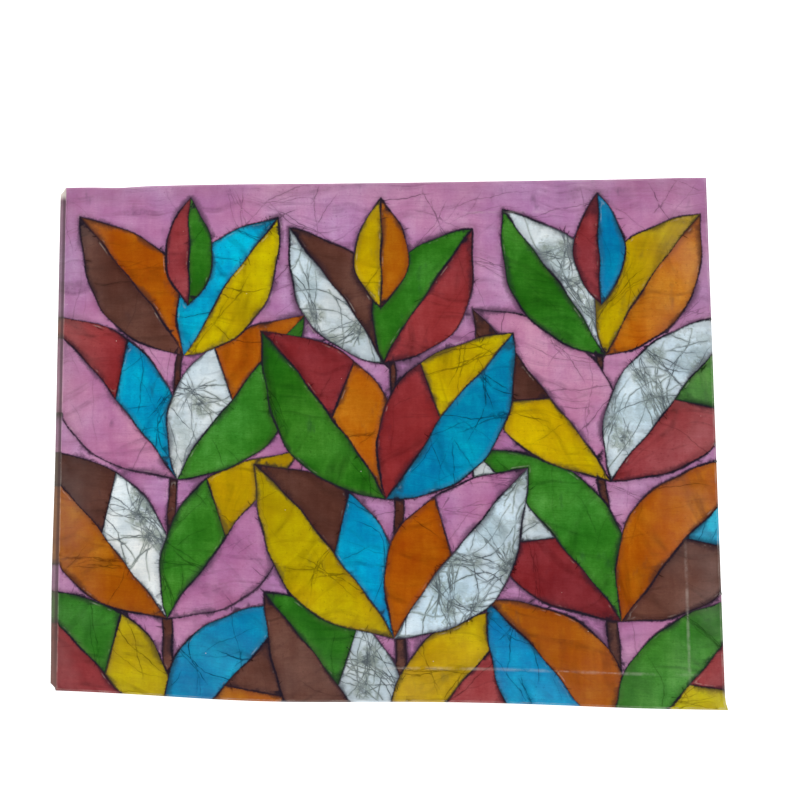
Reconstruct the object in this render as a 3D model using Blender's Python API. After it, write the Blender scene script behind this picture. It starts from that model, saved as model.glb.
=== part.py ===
# Batik wall hanging on its stretcher frame: one dyed cotton cloth, drawn over the front of a mitred
# softwood frame, carried round the four sides and turned back on the rear.
# Metres, +Z up, the picture side faces -Y. The origin is the seat of the wall hook: the middle of the
# underside of the top batten.
import math

import bmesh
import bpy

for scene_object in list(bpy.data.objects):
    bpy.data.objects.remove(scene_object, do_unlink=True)

# Driving dimensions
FACE_WIDTH = 0.500
FACE_HEIGHT = 0.3925
CLOTH_THICKNESS = 0.001
BAR_WIDTH = 0.024
BAR_DEPTH = 0.016
TURN_BACK = 0.020

# Clearances between the cloth, the battens and their mitres
GAP = 0.0003
SIDE_SLACK = 0.0009

# How far the hand-made frame leans out of square: sideways travel for each metre of height
LEAN = -0.0199

# Small roundings: the cloth's fold over the frame, and the planed arrises of the battens
FOLD = 0.0012
ARRIS = 0.0008

# The left side stands out from the face: a bevelled batten, seen as a dark strip beside the picture
BEVEL_DEPTH = 0.004
BEVEL_OUT = 0.0053
BEVEL_FADE = 0.004
BEVEL_SWELL = ((0.78, 0.14, 0.0009),)

# Unevenness of the edges as rows of (place along the edge from 0 to 1, reach, outward travel)
TOP_WAVES = ((0.25, 0.17, 0.0008), (0.088, 0.03, -0.00095), (0.96, 0.05, 0.0004))
BOTTOM_WAVES = ((0.32, 0.20, 0.0038), (0.88, 0.12, 0.0009))
WAVE_FADE = 0.060

# The lower right corner, pulled out to a small nib
NIB_OUT = 0.0019
NIB_REACH = 0.010

# The cloth hollows a little towards the wall between the battens
SAG = 0.0013
SAG_RAMP = 0.070

# The raw edge on the rear was cut by hand
RAW_EDGE_WAVE = 0.0012
RAW_EDGE_WAVES_ROUND = 9

# Distances from an edge where the cloth's mesh has a line, and its steps across the middle
EDGE_LINES = (0.0, 0.004, 0.010, 0.017, 0.0235, 0.0265, 0.034, 0.048)
STEPS_ACROSS = 20
STEPS_UP = 15
BAR_STEPS = 14

HALF_WIDTH = FACE_WIDTH / 2
HALF_HEIGHT = FACE_HEIGHT / 2
FRAME_INSET = CLOTH_THICKNESS + SIDE_SLACK
TOTAL_DEPTH = BAR_DEPTH + 2 * (CLOTH_THICKNESS + GAP)
FRONT_Y = -TOTAL_DEPTH / 2
FACE_CENTRE_Z = -(HALF_HEIGHT - FRAME_INSET - BAR_WIDTH)


def material(name, colour, roughness):
    """A Principled material in one plain colour."""
    made = bpy.data.materials.new(name)
    made.use_nodes = True
    shader = made.node_tree.nodes["Principled BSDF"]
    shader.inputs["Base Color"].default_value = (*colour, 1.0)
    shader.inputs["Roughness"].default_value = roughness
    shader.inputs["Metallic"].default_value = 0.0
    return made


def add_object(name, mesh_builder, finish):
    """One named object from a filled bmesh."""
    mesh_builder.normal_update()
    mesh = bpy.data.meshes.new(name)
    mesh_builder.to_mesh(mesh)
    mesh_builder.free()
    mesh.materials.append(finish)
    made = bpy.data.objects.new(name, mesh)
    bpy.context.scene.collection.objects.link(made)
    return made


def smooth_step(value):
    """0 below 0, 1 above 1, and a smooth rise between."""
    held = min(1.0, max(0.0, value))
    return held * held * (3 - 2 * held)


def swell(place, rows):
    """The sum of soft bumps, each a (place, reach, travel) row."""
    return sum(travel * math.exp(-((place - centre) / reach) ** 2) for centre, reach, travel in rows)


def bevel_out(x, z, depth):
    """How far the left side stands out at this height and depth: nothing on the face, full at the bevel."""
    down = (HALF_HEIGHT - z) / FACE_HEIGHT
    to_corner = HALF_HEIGHT - abs(z)
    along = smooth_step(to_corner / BEVEL_FADE)
    beside = smooth_step((-HALF_WIDTH + EDGE_LINES[2] - x) / (EDGE_LINES[2] - 2 * FOLD))
    return (BEVEL_OUT + swell(down, BEVEL_SWELL)) * along * beside * min(1.0, depth / BEVEL_DEPTH)


def placed(x, depth, z):
    """A point of the true rectangle, moved into the leaning frame and to where the origin wants it."""
    return (x + LEAN * z, FRONT_Y + depth, z + FACE_CENTRE_Z)


def place_across(x):
    """Where a point is along the top or bottom edge, from 0 at the left to 1 at the right."""
    return (x + HALF_WIDTH) / FACE_WIDTH


def cloth_placed(x, depth, z):
    """A point of the cloth, with the waves of its top and bottom edges and the nib at its corner."""
    across = place_across(x)
    near_top = 1 - smooth_step((HALF_HEIGHT - z) / WAVE_FADE)
    near_bottom = 1 - smooth_step((HALF_HEIGHT + z - BAR_WIDTH) / WAVE_FADE)
    nib = max(0.0, 1 - (HALF_HEIGHT + z) / NIB_REACH) * smooth_step((across - 0.9) / 0.1)
    new_z = z + swell(across, TOP_WAVES) * near_top - swell(across, BOTTOM_WAVES) * near_bottom
    return placed(x + NIB_OUT * nib * nib, depth, new_z)


def sag(x, z):
    """How far the face hollows in at a point, nothing over the battens."""
    inside_x = HALF_WIDTH - abs(x) - FRAME_INSET - BAR_WIDTH
    inside_z = HALF_HEIGHT - abs(z) - FRAME_INSET - BAR_WIDTH
    return SAG * smooth_step(inside_x / SAG_RAMP) * smooth_step(inside_z / SAG_RAMP)


def mesh_lines(length, steps):
    """Line positions across the face: close together over the battens, even across the middle."""
    half = length / 2
    edge = EDGE_LINES[-1]
    near = [-half + line for line in EDGE_LINES]
    middle = [-half + edge + (length - 2 * edge) * step / steps for step in range(1, steps)]
    return near + middle + [-place for place in reversed(near)]


LINES_X = mesh_lines(FACE_WIDTH, STEPS_ACROSS)
LINES_Z = mesh_lines(FACE_HEIGHT, STEPS_UP)


def drawn_in(x, z, inset):
    """A place on the face after its outline has been drawn in by the inset."""
    return x * (1 - inset / HALF_WIDTH), z * (1 - inset / HALF_HEIGHT)


def cloth_point(x, z, inset, depth):
    """A point of the cloth, from its place on the flat face, its inset and its depth."""
    inner_x, inner_z = drawn_in(x, z, inset)
    out = bevel_out(inner_x, inner_z, depth)
    return cloth_placed(inner_x - out, depth, inner_z)


def outline():
    """The places round the rim of the face, one way round."""
    last_x = len(LINES_X) - 1
    last_z = len(LINES_Z) - 1
    bottom = [(i, 0) for i in range(last_x)]
    right = [(last_x, j) for j in range(last_z)]
    top = [(i, last_z) for i in range(last_x, 0, -1)]
    left = [(0, j) for j in range(last_z, 0, -1)]
    return bottom + right + top + left


def face_layer(builder, inset, depth):
    """One side of the cloth's face as a grid of vertices, keyed by its line numbers."""
    grid = {}
    for i, x in enumerate(LINES_X):
        for j, z in enumerate(LINES_Z):
            rim = i in (0, len(LINES_X) - 1) or j in (0, len(LINES_Z) - 1)
            inner_x, inner_z = drawn_in(x, z, inset) if rim else (x, z)
            spot = cloth_placed(inner_x, depth + sag(inner_x, inner_z), inner_z)
            grid[i, j] = builder.verts.new(spot)
    return grid


def fill_grid(builder, grid, flip):
    """The quads of a face layer."""
    for i in range(len(LINES_X) - 1):
        for j in range(len(LINES_Z) - 1):
            corners = [grid[i, j], grid[i + 1, j], grid[i + 1, j + 1], grid[i, j + 1]]
            builder.faces.new(corners[::-1] if flip else corners)


def raw_edge_inset(order, count):
    """The turn-back at one place round the rear, with the wander of a hand cut."""
    turn = 2 * math.pi * order / count
    return TURN_BACK + RAW_EDGE_WAVE * math.sin(RAW_EDGE_WAVES_ROUND * turn)


def rim_rings(builder, grid, rows):
    """The rings of one layer from the face's rim round the side to the raw edge.
    A row is (inset, depth); the inset None stands for the raw edge's own."""
    places = outline()
    rings = [[grid[place] for place in places]]
    for inset, depth in rows:
        ring = []
        for order, (i, j) in enumerate(places):
            here = raw_edge_inset(order, len(places)) if inset is None else inset
            ring.append(builder.verts.new(cloth_point(LINES_X[i], LINES_Z[j], here, depth)))
        rings.append(ring)
    return rings


def bridge(builder, first, second, flip):
    """The band of quads between two closed rings."""
    count = len(first)
    for order in range(count):
        after = (order + 1) % count
        corners = [first[order], second[order], second[after], first[after]]
        builder.faces.new(corners[::-1] if flip else corners)


def build_cloth(finish):
    """The stretched cloth as one closed sheet."""
    builder = bmesh.new()
    thick = CLOTH_THICKNESS
    far = TOTAL_DEPTH
    outer_rows = (
        (FOLD * 0.3, FOLD * 0.3),
        (0.0, FOLD),
        (0.0, BEVEL_DEPTH),
        (0.0, far - FOLD),
        (FOLD, far),
        (None, far),
    )
    inner_rows = (
        (thick, thick + FOLD / 3),
        (thick, BEVEL_DEPTH + thick),
        (thick, far - thick - FOLD / 3),
        (thick + FOLD / 3, far - thick),
        (None, far - thick),
    )
    outer_grid = face_layer(builder, FOLD, 0.0)
    inner_grid = face_layer(builder, thick + FOLD / 3, thick)
    fill_grid(builder, outer_grid, flip=False)
    fill_grid(builder, inner_grid, flip=True)
    outer_rings = rim_rings(builder, outer_grid, outer_rows)
    inner_rings = rim_rings(builder, inner_grid, inner_rows)
    for first, second in zip(outer_rings, outer_rings[1:]):
        bridge(builder, first, second, flip=False)
    for first, second in zip(inner_rings, inner_rings[1:]):
        bridge(builder, first, second, flip=True)
    bridge(builder, outer_rings[-1], inner_rings[-1], flip=False)
    cloth = add_object("batik_cloth", builder, finish)
    cloth.data.shade_smooth()
    cloth.data.set_sharp_from_angle(angle=math.radians(35))
    return cloth


def batten_profile(bevelled):
    """The cross-section as (distance in from the outer edge, depth, share of the bevel) rows."""
    front = CLOTH_THICKNESS + GAP
    back = front + BAR_DEPTH
    plain_side = ((0.0, front + ARRIS, 0.0), (0.0, back - ARRIS, 0.0), (ARRIS, back, 0.0))
    bevelled_side = (
        (0.0, front + ARRIS, 0.0),
        (0.0, front + BEVEL_DEPTH, 1.0),
        (0.0, back - ARRIS, 1.0),
        (ARRIS, back, 1.0),
    )
    inner_side = (
        (BAR_WIDTH - ARRIS, back, 0.0),
        (BAR_WIDTH, back - ARRIS, 0.0),
        (BAR_WIDTH, front + ARRIS, 0.0),
        (BAR_WIDTH - ARRIS, front, 0.0),
        (ARRIS, front, 0.0),
    )
    return (bevelled_side if bevelled else plain_side) + inner_side


def batten_stations(half_length, steps):
    """Where a batten's sections lie, as shares of its half length: a straight one has only its ends."""
    if steps == 1:
        return [-1.0, 1.0]
    end = 1 - BEVEL_FADE / half_length
    even = [end * (2 * step / steps - 1) for step in range(steps + 1)]
    return [-1.0] + even + [1.0]


def build_batten(name, side, steps, finish):
    """One mitred batten; side is the unit vector (x, z) from the frame's middle to the batten."""
    side_x, side_z = side
    reach = (HALF_WIDTH if side_x else HALF_HEIGHT) - FRAME_INSET
    half_length = (HALF_HEIGHT if side_x else HALF_WIDTH) - FRAME_INSET
    mitre_gap = GAP / math.sqrt(2)
    is_left = side == (-1, 0)
    is_bottom = side == (0, -1)
    builder = bmesh.new()
    sections = []
    for share in batten_stations(half_length, steps):
        section = []
        for inwards, depth, bevel_share in batten_profile(is_left):
            along = share * (half_length - inwards - mitre_gap)
            out = reach - inwards
            x = side_x * out + side_z * along
            z = side_z * out - side_x * along
            if is_left:
                x -= bevel_share * bevel_out(-HALF_WIDTH, z, BEVEL_DEPTH)
            if is_bottom:
                z -= swell(place_across(x), BOTTOM_WAVES)
            section.append(builder.verts.new(placed(x, depth, z)))
        sections.append(section)
    for first, second in zip(sections, sections[1:]):
        bridge(builder, first, second, flip=False)
    builder.faces.new(sections[0])
    builder.faces.new(sections[-1][::-1])
    return add_object(name, builder, finish)


BATTENS = (
    ("bar_top", (0, 1), 1),
    ("bar_bottom", (0, -1), BAR_STEPS),
    ("bar_left", (-1, 0), BAR_STEPS),
    ("bar_right", (1, 0), 1),
)

cotton = material("batik_cotton", (0.36, 0.17, 0.28), 0.85)
softwood = material("stretcher_wood", (0.62, 0.44, 0.25), 0.7)
build_cloth(cotton)
for batten_name, batten_side, batten_steps in BATTENS:
    build_batten(batten_name, batten_side, batten_steps, softwood)
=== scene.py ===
import math
import random

import bpy
import numpy as np
from mathutils import Euler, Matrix, Vector, geometry, kdtree


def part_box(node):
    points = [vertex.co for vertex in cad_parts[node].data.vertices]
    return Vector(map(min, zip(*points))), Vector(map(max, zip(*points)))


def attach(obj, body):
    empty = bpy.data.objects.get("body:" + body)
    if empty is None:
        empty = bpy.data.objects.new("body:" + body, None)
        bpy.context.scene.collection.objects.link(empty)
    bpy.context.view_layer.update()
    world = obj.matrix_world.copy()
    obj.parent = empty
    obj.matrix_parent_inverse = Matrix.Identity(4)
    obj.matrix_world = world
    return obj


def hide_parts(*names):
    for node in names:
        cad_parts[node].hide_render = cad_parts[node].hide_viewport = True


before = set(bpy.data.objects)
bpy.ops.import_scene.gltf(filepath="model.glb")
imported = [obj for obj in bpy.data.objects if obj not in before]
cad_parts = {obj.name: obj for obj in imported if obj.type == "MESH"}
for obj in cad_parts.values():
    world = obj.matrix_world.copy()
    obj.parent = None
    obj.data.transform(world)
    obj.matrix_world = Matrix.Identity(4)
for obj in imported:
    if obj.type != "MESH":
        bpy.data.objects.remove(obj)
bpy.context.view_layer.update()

# Stretcher battens
# Four planed softwood battens, mitred, glued and pinned into the frame that the cloth is drawn over.
# Their solids come from the frame; here they get pale, slightly dirty pine with its grain lengthwise.


def new_material(name):
    """An empty node material and its Principled shader."""
    made = bpy.data.materials.new(name)
    made.use_nodes = True
    return made, made.node_tree, made.node_tree.nodes["Principled BSDF"]


def add_node(kind, settings=None, tree=None, **sockets):
    """A shader node with its settings and inputs. An input is a value or another node's output, and the
    node joins that output's tree unless a tree is given."""
    outputs = [value for value in sockets.values() if isinstance(value, bpy.types.NodeSocket)]
    node = (tree or outputs[0].id_data).nodes.new("ShaderNode" + kind)
    for name, value in (settings or {}).items():
        setattr(node, name, value)
    for name, value in sockets.items():
        key = int(name[1:]) if name[0] == "i" and name[1:].isdigit() else name.replace("_", " ")
        connect(value, node.inputs[key])
    return node


def connect(value, socket):
    """Joins an output to an input, or sets the input's value."""
    if isinstance(value, bpy.types.NodeSocket):
        socket.id_data.links.new(value, socket)
    else:
        socket.default_value = value


def maths(operation, first, *others):
    """Two or more numbers worked together, one after the other."""
    result = first
    for other in others or (0.0,):
        result = add_node("Math", {"operation": operation}, i0=result, i1=other).outputs[0]
    return result


def blend(share, first, second, way="MIX"):
    """Two colours blended by a share."""
    settings = {"data_type": "RGBA", "blend_type": way, "clamp_factor": True}
    node = add_node("Mix", settings, i0=share, i6=first, i7=second)
    return node.outputs[2]


def ramp(value, low, high, start=0.0, end=1.0, smooth=True):
    """A number carried from one range to another and held at its ends."""
    settings = {"interpolation_type": "SMOOTHSTEP" if smooth else "LINEAR"}
    node = add_node("MapRange", settings, Value=value)
    for name, amount in (("From Min", low), ("From Max", high), ("To Min", start), ("To Max", end)):
        connect(amount, node.inputs[name])
    return node.outputs[0]


def noise(place, scale, detail=2.0, roughness=0.5, output=0):
    """Cloudy noise: output 0 is its level, 1 its colour."""
    node = add_node("TexNoise", Vector=place, Scale=scale)
    node.inputs["Detail"].default_value = detail
    node.inputs["Roughness"].default_value = roughness
    return node.outputs[output]


def patches(place, scale, detail, roughness, low, high, start=0.0, end=1.0):
    """Cloudy noise carried from one range to another and held at its ends."""
    return ramp(noise(place, scale, detail, roughness), low, high, start, end)


def srgb(red, green, blue):
    """A colour given as it looks on a screen, from 0 to 255, as Blender's linear colour."""
    levels = [value / 255 for value in (red, green, blue)]
    linear = [v / 12.92 if v <= 0.04045 else ((v + 0.055) / 1.055) ** 2.4 for v in levels]
    return (*linear, 1.0)


def surface(shader, colour, roughness, strength, distance, height):
    """Gives a shader its colour, its roughness and the strength, depth and pattern of its fine relief."""
    bump = add_node("Bump", Strength=strength, Distance=distance, Height=height)
    connect(colour, shader.inputs["Base Color"])
    connect(roughness, shader.inputs["Roughness"])
    connect(bump.outputs[0], shader.inputs["Normal"])


PINE_LIGHT = srgb(214, 184, 140)
PINE_DARK = srgb(176, 134, 86)
PINE_DIRT = srgb(120, 98, 76)


def pine(name, stretch):
    """Pale planed pine with its grain along the axis whose stretch is small."""
    made, tree, shader = new_material(name)
    place = add_node("TexCoord", tree=tree).outputs["Object"]
    along = add_node("Mapping", Vector=place, Scale=stretch).outputs[0]
    rings = noise(along, 60.0, 3.0, 0.6)
    fibre = noise(along, 520.0, 2.0, 0.6)
    bands = maths("SINE", maths("MULTIPLY", rings, 42.0))
    grain = ramp(bands, -0.6, 0.9)
    wood = blend(grain, PINE_LIGHT, PINE_DARK)
    wood = blend(ramp(fibre, 0.45, 0.75, 0.0, 0.35), wood, PINE_DARK)
    wood = blend(patches(place, 22.0, 4.0, 0.6, 0.52, 0.8, 0.0, 0.45), wood, PINE_DIRT)
    surface(shader, wood, ramp(grain, 0.0, 1.0, 0.62, 0.78), 0.35, 0.0004, fibre)
    return made


LEVEL_PINE = pine("pine_level", (0.05, 1.0, 1.0))
UPRIGHT_PINE = pine("pine_upright", (1.0, 1.0, 0.05))
for batten, finish in (
    ("bar_top", LEVEL_PINE),
    ("bar_bottom", LEVEL_PINE),
    ("bar_left", UPRIGHT_PINE),
    ("bar_right", UPRIGHT_PINE),
):
    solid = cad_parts[batten]
    solid.data.materials.clear()
    solid.data.materials.append(finish)

# Batik cloth
# One plain-weave cotton, wax-resist dyed in flat colours with dark drawn outlines and crackle where the
# wax broke. It is drawn over the frame's front, carried round its sides and turned back on the rear.
FACE_WIDTH = 0.500
FACE_HEIGHT = 0.3925
HALF_WIDTH = FACE_WIDTH / 2
HALF_HEIGHT = FACE_HEIGHT / 2
COTTON = 0.0004
FOLD = 0.0012
TURN_BACK = 0.020
BAR_WIDTH = 0.024
FRAME_INSET = 0.0019
LEAN = -0.0199
cloth_low, cloth_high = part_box("batik_cloth")
FRONT_Y = cloth_low[1]
TOTAL_DEPTH = cloth_high[1] - cloth_low[1]
FACE_CENTRE_Z = -(HALF_HEIGHT - FRAME_INSET - BAR_WIDTH)
TOP_WAVES = ((0.25, 0.17, 0.0008), (0.088, 0.03, -0.00095), (0.96, 0.05, 0.0004))
BOTTOM_WAVES = ((0.32, 0.20, 0.0038), (0.88, 0.12, 0.0009))
WAVE_FADE = 0.060
NIB_OUT = 0.0019
NIB_REACH = 0.010
BEVEL_DEPTH = 0.004
BEVEL_OUT = 0.0053
BEVEL_FADE = 0.004
BEVEL_SWELL = ((0.78, 0.14, 0.0009),)
BEVEL_BESIDE = 0.010
SAG = 0.0013
SAG_RAMP = 0.070
RIDGE = 0.00018
RIDGE_REACH = 0.0016
RIPPLE = 0.00016
RIPPLE_REACH = 0.05
SLACK = 0.00012
RELIEF_CLEAR = 0.006
TINY = 1e-5

# Each dye with its crackle: bunches and lone cracks in a square decimetre, how strongly they show, how
# much they bend, and how unevenly the cloth took the dye up
DYES = {
    "lilac": (srgb(184, 128, 171), 1.8, 17.0, 0.58, 4.5, 0.66),
    "yellow": (srgb(184, 157, 0), 2.6, 14.0, 0.66, 5.0, 0.78),
    "orange": (srgb(174, 97, 10), 1.2, 8.0, 0.55, 4.5, 0.62),
    "green": (srgb(47, 115, 28), 1.3, 9.0, 0.55, 4.5, 0.64),
    "cyan": (srgb(0, 152, 193), 4.2, 20.0, 0.84, 9.0, 1.05),
    "red": (srgb(138, 48, 53), 0.6, 6.0, 0.50, 4.5, 0.43),
    "brown": (srgb(92, 57, 48), 0.5, 5.0, 0.42, 4.5, 0.36),
    "white": (srgb(202, 216, 226), 16.0, 42.0, 1.00, 13.0, 1.00),
}

# Stems as rows of foot, top, thickness, bend
STEMS = (
    ((-0.160, -0.215), (-0.150, 0.120), 0.009, 0.012),
    ((0.012, -0.215), (0.004, 0.130), 0.009, -0.014),
    ((0.178, -0.215), (0.168, 0.120), 0.009, 0.012),
)

# Leaves as rows of base, bend, and the one or two leaves that spring from it, bent left and right, each a
# tip, a width and the dyes of its left and right half
LEAVES = (
    ((-0.160, -0.240), 0.006, ((-0.275, -0.120), 0.088, "red", "yellow green"),
     ((-0.062, -0.125), 0.084, "cyan", "orange brown")),
    ((0.012, -0.245), 0.008, ((-0.088, -0.118), 0.084, "brown", "white green"),
     ((0.115, -0.125), 0.084, "yellow", "red")),
    ((0.178, -0.240), 0.008, ((0.078, -0.120), 0.086, "cyan", "orange"),
     ((0.285, -0.115), 0.086, "green", "yellow red")),
    ((-0.162, -0.140), 0.008, ((-0.282, -0.010), 0.086, "orange", "white brown"),
     ((-0.060, -0.012), 0.086, "green yellow", "lilac")),
    ((0.178, -0.135), 0.008, ((0.070, -0.008), 0.088, "red white", "green"),
     ((0.290, -0.012), 0.086, "orange", "brown cyan")),
    ((0.010, -0.150), 0.008, ((-0.096, -0.022), 0.086, "yellow", "cyan brown"),
     ((0.112, -0.025), 0.086, "orange lilac", "white")),
    ((-0.158, -0.035), 0.008, ((-0.270, 0.095), 0.084, "lilac", "cyan red"),
     ((-0.058, 0.092), 0.084, "white orange", "green")),
    ((0.174, -0.032), 0.008, ((0.072, 0.098), 0.086, "yellow brown", "lilac"),
     ((0.282, 0.092), 0.084, "white", "red green")),
    ((0.006, -0.048), 0.008, ((-0.090, 0.080), 0.086, "green", "orange red"),
     ((0.104, 0.078), 0.086, "red yellow", "cyan")),
    ((-0.152, 0.062), 0.006, ((-0.236, 0.170), 0.066, "brown", "orange"),
     ((-0.078, 0.168), 0.066, "cyan", "yellow")),
    ((0.170, 0.062), 0.006, ((0.096, 0.172), 0.066, "green", "white"),
     ((0.244, 0.168), 0.066, "yellow", "orange")),
    ((0.004, 0.056), 0.006, ((-0.070, 0.160), 0.066, "white", "brown"),
     ((0.074, 0.158), 0.066, "green", "red")),
    ((-0.150, 0.100), 0.0, ((-0.147, 0.187), 0.040, "red", "green")),
    ((0.168, 0.100), 0.0, ((0.170, 0.186), 0.040, "red", "cyan")),
    ((0.004, 0.098), 0.0, ((0.002, 0.184), 0.040, "yellow", "orange")),
)
LEAF_STEPS = 26
VEIN_SLANT = 0.16
RIB_SHARE = 0.92
HAND_SWAY = 0.0011
HAND_SHAKE = 0.0006


def hand_drawn(u, v):
    """A place of the ruled pattern, moved as an unsteady hand would draw it."""
    across = HAND_SWAY * math.sin(61 * u + 37 * v + 0.7) + HAND_SHAKE * math.sin(173 * v - 90 * u)
    up = HAND_SWAY * math.sin(53 * v - 41 * u + 2.1) + HAND_SHAKE * math.sin(151 * u + 110 * v)
    return (u + across, v + up)


def leaf_width(t):
    """How wide a leaf is at a share of its length."""
    return (4 * t * (1 - t)) ** 0.97 * (1.16 - 0.32 * t)


def stem_width(t):
    """How wide a stem is at a share of its length."""
    return 1 - 0.6 * t


def curved_shape(base, tip, width, bend, width_at):
    """The middle line of a shallow curve from base to tip, and the shape's left and right edges."""
    base, tip = Vector(base), Vector(tip)
    run = (tip - base).normalized()
    pull = (base + tip) / 2 + Vector((-run.y, run.x)) * bend
    middle, left, right = [], [], []
    for step in range(LEAF_STEPS + 1):
        t = step / LEAF_STEPS
        point = (1 - t) ** 2 * base + 2 * t * (1 - t) * pull + t * t * tip
        heading = ((1 - t) * (pull - base) + t * (tip - pull)).normalized()
        side = Vector((-heading.y, heading.x)) * (width / 2 * width_at(t))
        middle.append(point)
        left.append(point + side)
        right.append(point - side)
    return middle, left, right


def half_leaf(rib, edge, dyes):
    """The pieces of half a leaf from base to tip, cut by veins that slant towards the tip."""
    count = len(dyes)
    cuts = [RIB_SHARE * part / count for part in range(1, count)]
    rib_marks = [0] + [round(cut * LEAF_STEPS) for cut in cuts] + [LEAF_STEPS]
    edge_marks = [0] + [round((cut + VEIN_SLANT) * LEAF_STEPS) for cut in cuts] + [LEAF_STEPS]
    pieces = []
    for part, dye in enumerate(dyes):
        inner = rib[rib_marks[part] : rib_marks[part + 1] + 1]
        outer = edge[edge_marks[part] : edge_marks[part + 1] + 1]
        pieces.append((dye, inner + outer[::-1]))
    return pieces


def drawn_pattern():
    """All pieces of the pattern as (dye, outline), the lower ones first."""
    pieces = []
    for row in STEMS:
        middle, left, right = curved_shape(*row, stem_width)
        pieces.append(("brown", left + right[::-1]))
    for base, bend, *leaves in LEAVES:
        for way, (tip, width, left_dyes, right_dyes) in zip((-1, 1), leaves):
            rib, left, right = curved_shape(base, tip, width, way * bend, leaf_width)
            pieces += half_leaf(rib, left, left_dyes.split()) + half_leaf(rib, right, right_dyes.split())
    return [(dye, np.array([hand_drawn(*point) for point in outline])) for dye, outline in pieces]


# Crackle: thin cracks of the wax, in bunches that meet in a knot, as lone lines, and as short ticks that
# cross the outlines. The ground's cracks run level or upright, each piece's along a slant of its own
CRACK_STEP = 0.0034
CRACK_REACH = (0.010, 0.048)
CRACK_SWAY = 0.0007
CRACK_SHAKE = 0.0003
RIM_CLEAR = 0.001
TICK_STEP = 0.0013
TICK_REACH = (0.0013, 0.0055)
TICK_BEND = 8.0
TICKS_TRIED = 3600
TICK_SPAN = 0.0022
TICK_CLEAR = 0.008
WHOLE_CRACKS = 0.7
KNOT_SPREAD = 0.0018
KNOT_FANS = (0.10, 0.22, 0.60)
CRACK_FADE = 4.0
CRACK_SEED = 23
SQUARE_DECIMETRES = 100
DENSEST = 47.0


def inside(points, outline):
    """Which points lie inside a closed outline."""
    result = np.zeros(len(points), bool)
    x, y = points[:, 0], points[:, 1]
    previous = outline[-1]
    for corner in outline:
        crosses = (corner[1] > y) != (previous[1] > y)
        if corner[1] != previous[1]:
            reach = (previous[0] - corner[0]) * (y - corner[1]) / (previous[1] - corner[1]) + corner[0]
            result ^= crosses & (x < reach)
        previous = corner
    return result


def owners_at(points, pieces):
    """The number of the topmost piece at each point, or -1 on the ground."""
    owner = np.full(len(points), -1)
    for number, (dye, outline) in enumerate(pieces):
        low, high = outline.min(0), outline.max(0)
        near = np.nonzero(((points > low) & (points < high)).all(1))[0]
        owner[near[inside(points[near], outline)]] = number
    return owner


def dye_of(number, pieces):
    """The dye of a piece, by its number."""
    return "lilac" if number < 0 else pieces[number][0]


def crack_points(rng, centre, heading, bend, stride=CRACK_STEP, reach=CRACK_REACH):
    """Points along one slightly bent crack, and the number of the point at its place."""
    back = round(rng.uniform(*reach) / stride)
    onward = round(rng.uniform(*reach) / stride)
    bow = rng.gauss(0.0, bend)
    sway = rng.uniform(0.0, 6.3)
    points = []
    for step in range(-back, onward + 1):
        run = step * stride
        off = bow * run * run + CRACK_SWAY * math.sin(run * 230 + sway)
        off += CRACK_SHAKE * math.sin(run * 810 + sway)
        points.append((centre[0] + run * math.cos(heading) - off * math.sin(heading),
                       centre[1] + run * math.sin(heading) + off * math.cos(heading)))
    return points, back


def within_piece(rng, points, middle, number, pieces):
    """The run of a crack that stays in its piece, and whether each end stops short of the outline."""
    owners = owners_at(np.array(points), pieces)
    first = last = middle
    while first > 0 and owners[first - 1] == number:
        first -= 1
    while last < len(points) - 1 and owners[last + 1] == number:
        last += 1
    short = [first == 0, last == len(points) - 1]
    if rng.random() > WHOLE_CRACKS:
        cut = rng.randint(0, 1)
        short[cut] = True
        if cut:
            last = rng.randint(middle, last)
        else:
            first = rng.randint(first, middle)
    first = first if short[0] else first - 1
    last = last if short[1] else last + 1
    run = [p for p in points[first : last + 1]
           if abs(p[0]) < HALF_WIDTH - RIM_CLEAR and abs(p[1]) < HALF_HEIGHT - RIM_CLEAR]
    return run, short


def outline_ticks(rng, pieces):
    """Short cracks across the drawn outlines, as (points, force at each point)."""
    span_u = HALF_WIDTH - TICK_CLEAR
    span_v = HALF_HEIGHT - TICK_CLEAR
    rows = [(rng.uniform(-span_u, span_u), rng.uniform(-span_v, span_v), rng.uniform(0, 2 * math.pi))
            for _ in range(TICKS_TRIED)]
    tries = np.array(rows)
    beyond = tries[:, :2] + TICK_SPAN * np.column_stack((np.cos(tries[:, 2]), np.sin(tries[:, 2])))
    crossing = owners_at(tries[:, :2], pieces) != owners_at(beyond, pieces)
    ticks = []
    for u, v, heading in tries[crossing]:
        slant = heading + rng.gauss(0, 0.5)
        run = crack_points(rng, (u, v), slant, TICK_BEND, TICK_STEP, TICK_REACH)[0]
        force = rng.uniform(0.35, 1.0)
        last = len(run) - 1
        ticks.append((run, [force * math.sin(math.pi * (k + 0.4) / (last + 0.8)) for k in range(last + 1)]))
    return ticks


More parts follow.
